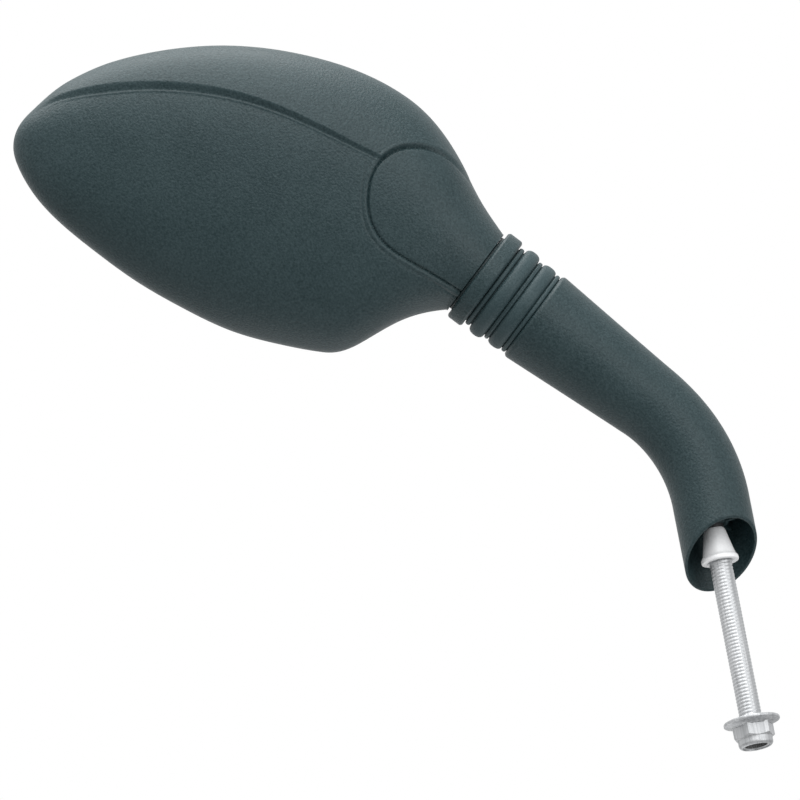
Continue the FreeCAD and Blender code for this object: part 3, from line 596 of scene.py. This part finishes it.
# The housing: one moulding in grained black plastic, with a brow along its top, a round pad and the neck.
# Its skin is a row of rounded sections along a curved spine, and its front is open for the glass.
# Its points are given as p to the right, q up and r to the back, from the ball's centre.
HEAD_SLOPE = math.radians(36.9)
HEAD_ROLL = math.radians(21.7)
NECK_RADIUS = 16.3
NECK_BORE = 12.6
NECK_EDGE = 0.5
BORE_DEPTH = 9.0
RIM_LEVEL = 18.0
RIM_EDGE = 1.2
POCKET_EDGE = 0.5
LEDGE_LEVEL = 11.5
LEDGE_WIDTH = 5.0
GLASS_GAP = 0.5
GLASS_MIDDLE = np.array([-100.0, 36.0])
PAD_MIDDLE = np.array([-24.0, 25.0])
PAD_FAR_WAY = np.array([-0.8, -0.6])
PAD_SHARE = 0.6
BOXY_POWER = 2.4
ROUND_POWER = 2.0
BROW_HEIGHT = 1.7
BROW_BAND = 2.5
TIP_BAND = 0.7
CREASE_ABOVE = 1.2
CREASE_BELOW = 2.0
CREASE_BEND = 1.2
PAD_EDGE = 0.7
PAD_FADE = 30.0
FAR_FROM_PAD = 50.0
LIP_HEIGHT = 0.13
GROOVE_DEPTH = 0.95
FINE_DEPTH = 0.3
BEAD_HEIGHT = 0.12
arm_flat = np.array([math.cos(HEAD_SLOPE), -math.sin(HEAD_SLOPE)])
SPINE_TIP = np.array([-173.2, 52.0])
SPINE_REACH = 75.0
SPINE_END = arm_flat * -NECK_FACE
SPINE_BEND = SPINE_END - arm_flat * SPINE_REACH
# share of the spine, reach above and below it, depth to the back and front, level of the widest line
STATIONS = np.array(
    [
        (0.000, 0.0, 0.0, 0.0, 0.0, -6.0),
        (0.010, 7.4, 7.8, 6.0, 13.0, -6.0),
        (0.040, 14.2, 17.6, 11.0, 20.0, -6.0),
        (0.090, 21.5, 27.2, 15.6, 25.0, -6.0),
        (0.160, 28.8, 36.4, 19.6, 28.0, -6.0),
        (0.250, 35.0, 45.3, 23.0, 30.0, -6.0),
        (0.360, 40.0, 52.0, 26.0, 31.0, -6.0),
        (0.500, 42.8, 56.3, 28.4, 31.0, -6.0),
        (0.640, 42.6, 55.5, 29.0, 30.0, -6.0),
        (0.750, 38.0, 52.6, 28.2, 28.0, -5.0),
        (0.840, 30.0, 44.8, 25.6, 24.0, -3.2),
        (0.910, 22.4, 29.8, 21.6, 19.6, -1.4),
        (1.000, NECK_RADIUS, NECK_RADIUS, NECK_RADIUS, NECK_RADIUS, 0.0),
    ]
)
# p and q of the brow's crease, of the pad's edge and of the glass's edge
CREASE = np.array(
    [
        (-182, 57.5),
        (-164.4, 67.0),
        (-142.7, 72.8),
        (-125.1, 74.2),
        (-107.6, 73.1),
        (-93.5, 70.4),
        (-79.5, 65.8),
        (-51.4, 52.4),
        (-36.0, 45.0),
        (20.0, 20.0),
    ]
)
PAD = np.array(
    [
        (-2.0, 27.0),
        (-12.1, 39.6),
        (-20.5, 48.6),
        (-30.4, 51.9),
        (-39.5, 50.4),
        (-45.8, 44.5),
        (-48.6, 34.0),
        (-47.2, 24.4),
        (-42.0, 16.8),
        (-33.9, 11.2),
        (-23.4, 5.1),
        (-8.0, -5.2),
    ]
)
GLASS = np.array(
    [
        (-164.0, 51.0),
        (-154.0, 65.6),
        (-131.5, 74.4),
        (-100.9, 77.6),
        (-71.8, 74.2),
        (-51.0, 64.5),
        (-41.0, 47.5),
        (-41.5, 29.0),
        (-48.0, 10.5),
        (-60.0, -2.8),
        (-77.0, -7.6),
        (-93.3, -4.0),
        (-113.6, 5.4),
        (-136.0, 18.8),
        (-155.0, 33.4),
    ]
)


def smooth_through(knots, values, at):
    """Natural cubic curve through the values: its second slopes solve one set of linear equations."""
    step = np.diff(knots)[:, None]
    slope = np.diff(values, axis=0) / step
    count = len(knots)
    inner = np.arange(1, count - 1)
    matrix = np.eye(count)
    matrix[inner, inner - 1] = step[:-1, 0]
    matrix[inner, inner] = 2 * (step[:-1, 0] + step[1:, 0])
    matrix[inner, inner + 1] = step[1:, 0]
    right = np.zeros(values.shape)
    right[1:-1] = 6 * (slope[1:] - slope[:-1])
    bent = np.linalg.solve(matrix, right)
    low = np.clip(np.searchsorted(knots, at) - 1, 0, count - 2)
    wide = step[low]
    a = (knots[low + 1] - at)[:, None] / wide
    b = 1 - a
    bow = (a**3 - a) * bent[low] + (b**3 - b) * bent[low + 1]
    return a * values[low] + b * values[low + 1] + bow * wide**2 / 6


def smooth_line(points, count, closed=False):
    """Smooth curve through (p, q) points, spaced by their distances; a closed one overlaps itself."""
    if closed:
        points = np.concatenate([points[-4:], points, points[:5]])
    length = np.concatenate([[0], np.cumsum(np.linalg.norm(np.diff(points, axis=0), axis=1))])
    first, last = (length[4], length[-5]) if closed else (0, length[-1])
    return smooth_through(length, points, np.linspace(first, last, count))


def eased_step(value):
    """Rises smoothly from 0 to 1."""
    value = np.clip(value, 0, 1)
    return value * value * (3 - 2 * value)


# the rows: sections along the spine, closer together towards the tip and from the pad to the neck,
# a little boxy as far as the pad and round at the neck
pad_root = math.sqrt(PAD_SHARE + 0.02)
end_root = math.sqrt(1 - NECK_EDGE / (2 * SPINE_REACH))
root_share = np.concatenate([np.linspace(0, pad_root, 80), np.linspace(pad_root, end_root, 181)[1:]])
share = root_share**2
stations = smooth_through(np.sqrt(STATIONS[:, 0]), STATIONS[:, 1:], root_share)
above, below, back, front, level = stations.T[:, :, None]
rounding = np.clip((share - PAD_SHARE) / (1 - PAD_SHARE), 0, None) ** 2
power = (BOXY_POWER + (ROUND_POWER - BOXY_POWER) * rounding)[:, None]
left = (1 - share)[:, None]
spine = SPINE_TIP * left**2 + SPINE_BEND * 2 * share[:, None] * left + SPINE_END * share[:, None] ** 2
spine_way = (SPINE_BEND - SPINE_TIP) * left + (SPINE_END - SPINE_BEND) * share[:, None]
spine_way /= np.linalg.norm(spine_way, axis=1, keepdims=True)
spine_side = np.stack([-spine_way[:, 1], spine_way[:, 0]], axis=1)


def crossing(line):
    """Where a curve crosses each section's plane: its distance to the side of the spine."""
    offset = line[None] - spine[:, None]
    ahead = np.einsum("ijk,ik->ij", offset, spine_way)
    aside = np.einsum("ijk,ik->ij", offset, spine_side)
    after = np.clip(np.argmax(ahead > 0, axis=1), 1, len(line) - 1)
    row = np.arange(len(spine))
    part = ahead[row, after - 1] / (ahead[row, after - 1] - ahead[row, after])
    low, high = aside[row, after - 1], aside[row, after]
    return (low + (high - low) * np.clip(part, 0, 1))[:, None]


def section_angle(aside):
    """Angle on a section's outline, towards the back, at a distance to the side of the spine."""
    half = np.maximum(np.where(aside > 0, above, below), 1e-9)
    wide = np.clip(aside / half, -0.995, 0.995)
    return np.arctan2((1 - np.abs(wide) ** power) ** (1 / power), wide)


# near the tip the crease bends to stay just inside the outline
crease_aside = crossing(smooth_line(CREASE, 400))
crease_room = 0.93 * above - crease_aside
crease_aside = crease_aside + (crease_room - np.hypot(crease_room, CREASE_BEND)) / 2
# the brow rises behind the tip and sinks again towards the neck, and the band it rises over does the same
brow_rise = np.clip(0.5 + 3.2 * share, 0, 1) * eased_step((root_share - 0.17) / 0.14)
brow_fall = 1 - 0.5 * eased_step((share - 0.42) / 0.28) - 0.4 * eased_step((share - 0.7) / 0.14)
brow_height = (BROW_HEIGHT * brow_rise * brow_fall)[:, None]
band_growth = eased_step(share / 0.18) * (1 - 0.45 * eased_step((share - 0.3) / 0.4))
brow_band = (TIP_BAND + (BROW_BAND - TIP_BAND) * band_growth)[:, None]
# the columns: from the rim over the top to the crease, closely across its band, then round below to the rim
rim_depth = np.clip((RIM_LEVEL - RIM_EDGE + level) / np.maximum(front, 1e-9), 0, 1)
rim_angle = np.arctan2(rim_depth, (1 - rim_depth**power) ** (1 / power))
above_crease = np.minimum(CREASE_ABOVE, 0.08 * above)
crease_width = above_crease + brow_band + CREASE_BELOW
high_angle = section_angle(crease_aside + above_crease)
low_angle = section_angle(crease_aside - brow_band - CREASE_BELOW)
top_part = -rim_angle + (high_angle + rim_angle) * np.linspace(0, 1, 91)[None, :-1]
crease_part = section_angle(crease_aside + above_crease - crease_width * np.linspace(0, 1, 37)[None, :-1])
low_part = low_angle + (math.pi + rim_angle - low_angle) * np.linspace(0, 1, 200)[None] ** 1.15
angle = np.concatenate([top_part, crease_part, low_part], axis=1)
reach = (np.abs(np.cos(angle)) ** power + np.abs(np.sin(angle)) ** power) ** (-1 / power)
aside = reach * np.cos(angle) * np.where(np.cos(angle) > 0, above, below)
depth = level + reach * np.sin(angle) * np.where(np.sin(angle) > 0, back, front)
skin = np.concatenate([spine[:, None] + spine_side[:, None] * aside[..., None], depth[..., None]], axis=2)


def line_distance(line, points):
    """Distance of each point from a curve, + on the right of its direction, by its nearest stretch."""
    start, along = line[:-1], np.diff(line, axis=0)
    length = np.linalg.norm(along, axis=1)
    offset = points[:, None] - start[None]
    part = np.clip((offset * along).sum(2) / length**2, 0, 1)
    gap = np.linalg.norm(offset - part[..., None] * along, axis=2)
    nearest = np.argmin(gap, axis=1)
    row = np.arange(len(points))
    turn = offset[row, nearest, 1] * along[nearest, 0] - offset[row, nearest, 0] * along[nearest, 1]
    return gap[row, nearest] * np.where(turn > 0, -1, 1)


def ridge(gap, place, width):
    """Bell curve across a line: 1 at a place beside it, fading away on both sides over a width."""
    return np.exp(-(((gap - place) / width) ** 2))


# the relief: brow and its lip, then the pad's groove, its bead and the fine line outside it;
# all but the brow fade where the skin turns away from the back, and the fine line on the pad's near side.
# The pad's edge runs on past the neck at both ends, and sections short of the pad count as far from it.
pad_line = np.concatenate([[(40, 45)], smooth_line(PAD, 120), [(40, -40)]])
pad_rows = share > PAD_SHARE
pad_gap = np.full(skin.shape[:2], FAR_FROM_PAD)
pad_gap[pad_rows] = line_distance(pad_line, skin[pad_rows][..., :2].reshape(-1, 2)).reshape(-1, skin.shape[1])
outward = np.cross(np.gradient(skin, axis=1), np.gradient(skin, axis=0))
outward /= np.maximum(np.linalg.norm(outward, axis=2, keepdims=True), 1e-9)
middle = np.concatenate([spine, level], axis=1)[:, None]
outward *= np.sign(((skin - middle) * outward).sum(2, keepdims=True))
on_back = eased_step(outward[..., 2] / 0.75)
off_pad = eased_step(pad_gap / PAD_EDGE)
far_side = eased_step(0.4 + (skin[..., :2] - PAD_MIDDLE) @ PAD_FAR_WAY / PAD_FADE)
edge = aside - crease_aside
ramp = np.clip((edge + brow_band) / brow_band, 0, 1)
brow = brow_height * (0.5 * ramp + 0.5 * eased_step(ramp)) * off_pad
lip = LIP_HEIGHT * ridge(edge + brow_band, place=-0.35, width=0.42) * brow_height * off_pad * on_back
groove = GROOVE_DEPTH * ridge(pad_gap, place=-0.4, width=0.42) * on_back
bead = BEAD_HEIGHT * ridge(pad_gap, place=1.0, width=0.4) * on_back
fine_line = FINE_DEPTH * ridge(pad_gap, place=1.9, width=0.35) * on_back * far_side
skin = skin + outward * (brow + lip - groove + bead - fine_line)[..., None]
# the tip is one point, and the sections past both ends of the rim close at the front
skin[0] = skin[0].mean(axis=0)
closed_rows = rim_depth[:, 0] >= 1
skin[closed_rows, -1] = skin[closed_rows, 0]

# the neck's end: a rounded edge, the end face and the bore for the socket's tube
neck_ring = skin[-1] - np.array([*SPINE_END - arm_flat * NECK_EDGE, 0])
neck_corners = [(NECK_RADIUS, 0), (NECK_RADIUS, NECK_EDGE), (NECK_BORE, NECK_EDGE), (NECK_BORE, -BORE_DEPTH)]
neck_edge = eased(neck_corners, NECK_EDGE)[1:]
neck_rows = neck_ring[None] * (neck_edge[:, :1, None] / NECK_RADIUS) + np.array([*SPINE_END, 0])
neck_rows = neck_rows + np.array([*arm_flat, 0]) * (neck_edge[:, 1:, None] - NECK_EDGE)


def edge_reach(line, angle, middle):
    """Reach of a closed curve from a point inside it, at each angle."""
    spoke = line - middle
    around = np.unwrap(np.arctan2(spoke[:, 1], spoke[:, 0]))
    order = np.argsort(around)
    start = around[order[0]]
    length = np.linalg.norm(spoke, axis=1)
    return np.interp(np.mod(angle - start, 2 * math.pi) + start, around[order], length[order])


# the rim: a rounded edge round the open sections, then a flat face in to the glass's pocket and ledge
glass_line = smooth_line(GLASS, 400, closed=True)
open_rows = np.flatnonzero(~closed_rows)
first, last = open_rows[0], open_rows[-1]
upper_edge = skin[first - 1 : last + 2, 0]
lower_edge = skin[first : last + 1, -1][::-1]
rim = np.concatenate([upper_edge, lower_edge, upper_edge[:1]])
rim_way = np.roll(rim[:-1, :2], -1, axis=0) - np.roll(rim[:-1, :2], 1, axis=0)
rim_way = np.concatenate([rim_way, rim_way[:1]])
rim_in = np.stack([rim_way[:, 1], -rim_way[:, 0]], axis=1) / np.linalg.norm(rim_way, axis=1, keepdims=True)
rim_in *= np.sign(((GLASS_MIDDLE - rim[:, :2]) * rim_in).sum(1).mean())
curl = np.linspace(0, math.pi / 2, 6)[:, None, None]
rim_flat = rim[None, :, :2] + rim_in[None] * RIM_EDGE * (1 - np.cos(curl))
rim_depth_in = rim[None, :, 2:] + (-RIM_LEVEL - rim[None, :, 2:]) * np.sin(curl)
rim_round = np.concatenate([rim_flat, rim_depth_in], axis=2)
rim_spoke = rim[:, :2] - GLASS_MIDDLE
rim_turn = np.arctan2(rim_spoke[:, 1], rim_spoke[:, 0])
rim_ray = np.stack([np.cos(rim_turn), np.sin(rim_turn)], axis=1)
pocket_reach = edge_reach(glass_line, rim_turn, GLASS_MIDDLE)[:, None]


def pocket_row(outset, depth):
    """One ring of the glass's pocket: a distance outside the glass's edge, at one depth."""
    flat = GLASS_MIDDLE + rim_ray * (pocket_reach + outset)
    return np.concatenate([flat, np.full((len(flat), 1), depth)], axis=1)


pocket_start = pocket_row(GLASS_GAP + POCKET_EDGE, -RIM_LEVEL)
part = np.linspace(0, 1, 6)[1:, None, None]
rim_face = rim_round[-1:] * (1 - part) + pocket_start[None] * part
pocket_depth = RIM_LEVEL - LEDGE_LEVEL
# steps out from the pocket's wall and down from the rim's face: rounded edge, wall and ledge
pocket_steps = [
    (0.3 * POCKET_EDGE, 0.24 * POCKET_EDGE),
    (0, POCKET_EDGE),
    (0, 3.0),
    (0, pocket_depth),
    (-LEDGE_WIDTH, pocket_depth),
]
pocket = np.stack([pocket_row(GLASS_GAP + out, -RIM_LEVEL + deep) for out, deep in pocket_steps])
bezel = np.concatenate([rim_round, rim_face, pocket])


def turn_about(axis, turn):
    """Matrix that turns by an angle about an axis."""
    x, y, z = axis
    cross = np.array([[0, -z, y], [z, 0, -x], [-y, x, 0]])
    return np.eye(3) + math.sin(turn) * cross + (1 - math.cos(turn)) * cross @ cross


tip_down = math.pi / 2 - ARM_BEND - HEAD_SLOPE
upright = turn_about((1, 0, 0), math.pi / 2)
head_axes = turn_about(neck_way, -HEAD_ROLL) @ turn_about((0, -1, 0), -tip_down) @ upright


def on_head(grid):
    """Carries a shape given in p, q and r to the head's place and slant."""
    return ball_centre + grid @ head_axes.T


housing = piece("housing_moulded", on_head(np.concatenate([skin, neck_rows])), on_head(bezel))
dressed(housing, black_plastic, "head", "black_plastic", "housing")

# The mirror glass: a convex silvered plate with a ground edge, set in the rim's pocket.
# It is stuck to a foam pad on a plastic carrier, which beds on the pocket's ledge.
# The foam and the carrier are shown as they were built.
GLASS_CURVE = 1000.0
GLASS_THICK = 2.5
GLASS_PROUD = 1.0
GROUND_EDGE = 0.35
# inset from the outline and depth below the face of the two rings that round the ground edge
EDGE_RINGS = ((0.1, 0.12), (0.0, 0.4))
glass_angle = round_angles(240)
glass_reach = edge_reach(glass_line, glass_angle, GLASS_MIDDLE)


def glass_rows(shares, inset, curve_radius):
    """Rings of a ball's surface about the glass's centre of curvature, at shares of the way to its edge.

    The edge is taken an inset inside the glass's outline.
    """
    wide = np.asarray(shares, float)[:, None] * (glass_reach[None] - inset)
    rise = GLASS_CURVE - np.sqrt(curve_radius**2 - wide**2) - RIM_LEVEL - GLASS_PROUD
    flat = GLASS_MIDDLE + np.stack([wide * np.cos(glass_angle), wide * np.sin(glass_angle)], axis=2)
    return np.concatenate([flat, rise[..., None]], axis=2)


glass_shares = np.linspace(0, 1, 24)
ground_rings = [glass_rows([1], inset, GLASS_CURVE - deep) for inset, deep in EDGE_RINGS]
glass_grid = np.concatenate(
    [
        glass_rows(glass_shares, GROUND_EDGE, GLASS_CURVE),
        *ground_rings,
        glass_rows(glass_shares[::-1], 0.0, GLASS_CURVE - GLASS_THICK),
    ]
)
silvered = surface_finish(
    "silvered_glass",
    tones=((0.86, 0.88, 0.88), (0.88, 0.90, 0.90)),
    patch=20,
    rough=(0.02, 0.03),
    grain=50,
    depth=0.0000002,
    metal=1.0,
)
foam = surface_finish(
    "black_foam",
    tones=((0.10, 0.10, 0.10), (0.18, 0.18, 0.18)),
    patch=600,
    rough=(0.8, 0.95),
    grain=1800,
    depth=0.0003,
)
dark_plastic = surface_finish(
    "dark_plastic",
    tones=((0.03, 0.03, 0.033), (0.05, 0.05, 0.055)),
    patch=120,
    rough=(0.4, 0.5),
    grain=1500,
    depth=0.00002,
)
glass = piece("mirror_glass_ground", on_head(glass_grid))
dressed(glass, silvered, "head", "mirror", "mirror_glass")
node_finish(foam, "foam_pad")
node_finish(dark_plastic, "glass_carrier")

# The studio: a pale floor well below the part, a white surround and four soft lights.
# The strongest light is above; one is in front, one to the right and a weak one below.
# The camera looks up at the mirror's back as in the photograph, from far away. Lengths here are in metres.
FLOOR_LEVEL = -3.0
FLOOR_REACH = 18.0
SURROUND_LIGHT = 0.6
SURROUND_SEEN = 1.0
VIEW_RIGHT = -0.03705
VIEW_UP = -0.03705
VIEW_WIDTH = 0.2813
CAMERA_DISTANCE = 5.0
SENSOR = 36.0
camera_right, camera_up, camera_back = head_axes.T
look_at = ball_centre * 0.001 + camera_right * VIEW_RIGHT + camera_up * VIEW_UP
pale_floor = surface_finish(
    "pale_floor",
    tones=((0.86, 0.86, 0.86), (0.88, 0.88, 0.88)),
    patch=2,
    rough=(0.7, 0.8),
    grain=30,
    depth=0.0001,
)
floor_corners = np.array([[(-1, -1, 0), (1, -1, 0)], [(-1, 1, 0), (1, 1, 0)]], float)
floor = piece("floor", floor_corners * FLOOR_REACH * 1000)
floor.location.z = FLOOR_LEVEL
floor.data.materials.append(pale_floor)

# the surround is pure white where it is seen or mirrored, and lights the part a little less than that
world = bpy.data.worlds.new("white_surround")
world.use_nodes = True
bpy.context.scene.world = world
world_nodes, world_links = world.node_tree.nodes, world.node_tree.links
sky = world_nodes["Background"]
sky.inputs["Color"].default_value = (1, 1, 1, 1)
path = world_nodes.new("ShaderNodeLightPath")
seen = world_nodes.new("ShaderNodeMath")
seen.operation = "MAXIMUM"
shiny = world_nodes.new("ShaderNodeMath")
shiny.operation = "MAXIMUM"
strength = world_nodes.new("ShaderNodeMapRange")
strength.inputs["To Min"].default_value = SURROUND_LIGHT
strength.inputs["To Max"].default_value = SURROUND_SEEN
world_links.new(path.outputs["Is Camera Ray"], seen.inputs[0])
world_links.new(path.outputs["Is Glossy Ray"], seen.inputs[1])
world_links.new(seen.outputs["Value"], shiny.inputs[0])
world_links.new(path.outputs["Is Transmission Ray"], shiny.inputs[1])
world_links.new(shiny.outputs["Value"], strength.inputs["Value"])
world_links.new(strength.outputs["Result"], sky.inputs["Strength"])


def placed(name, data, axes, place):
    """Puts a lamp or camera at a place, turned so that its own axes lie along the columns of a matrix."""
    obj = bpy.data.objects.new(name, data)
    stand = np.eye(4)
    stand[:3, :3] = axes
    stand[:3, 3] = place
    obj.matrix_world = Matrix(stand.tolist())
    bpy.context.collection.objects.link(obj)
    return obj


def soft_light(name, away, size, power):
    """Square lamp at a place given along the camera's right, up and back, aimed at the middle of the part."""
    lamp = bpy.data.lights.new(name, "AREA")
    lamp.shape = "SQUARE"
    lamp.size = size
    lamp.energy = power
    way = np.array(away) @ head_axes.T
    back = way / np.linalg.norm(way)
    up = np.array([0.0, 1.0, 0.0]) if abs(back[2]) > 0.9 else np.array([0.0, 0.0, 1.0])
    side = np.cross(up, back)
    side /= np.linalg.norm(side)
    placed(name, lamp, np.stack([side, np.cross(back, side), back], axis=1), look_at + way)


soft_light("light_above", away=(-0.3, 1.0, -0.1), size=1.4, power=22)
soft_light("light_front", away=(0.1, 0.9, 0.95), size=1.0, power=7.5)
soft_light("light_right", away=(1.1, 0.05, 0.9), size=0.7, power=6)
soft_light("light_below", away=(0.0, -1.0, -0.25), size=1.0, power=2.5)

lens = bpy.data.cameras.new("camera")
lens.sensor_width = SENSOR
lens.lens = SENSOR * CAMERA_DISTANCE / VIEW_WIDTH
bpy.context.scene.camera = placed("camera", lens, head_axes, look_at + camera_back * CAMERA_DISTANCE)
bpy.context.scene.view_settings.view_transform = "Standard"
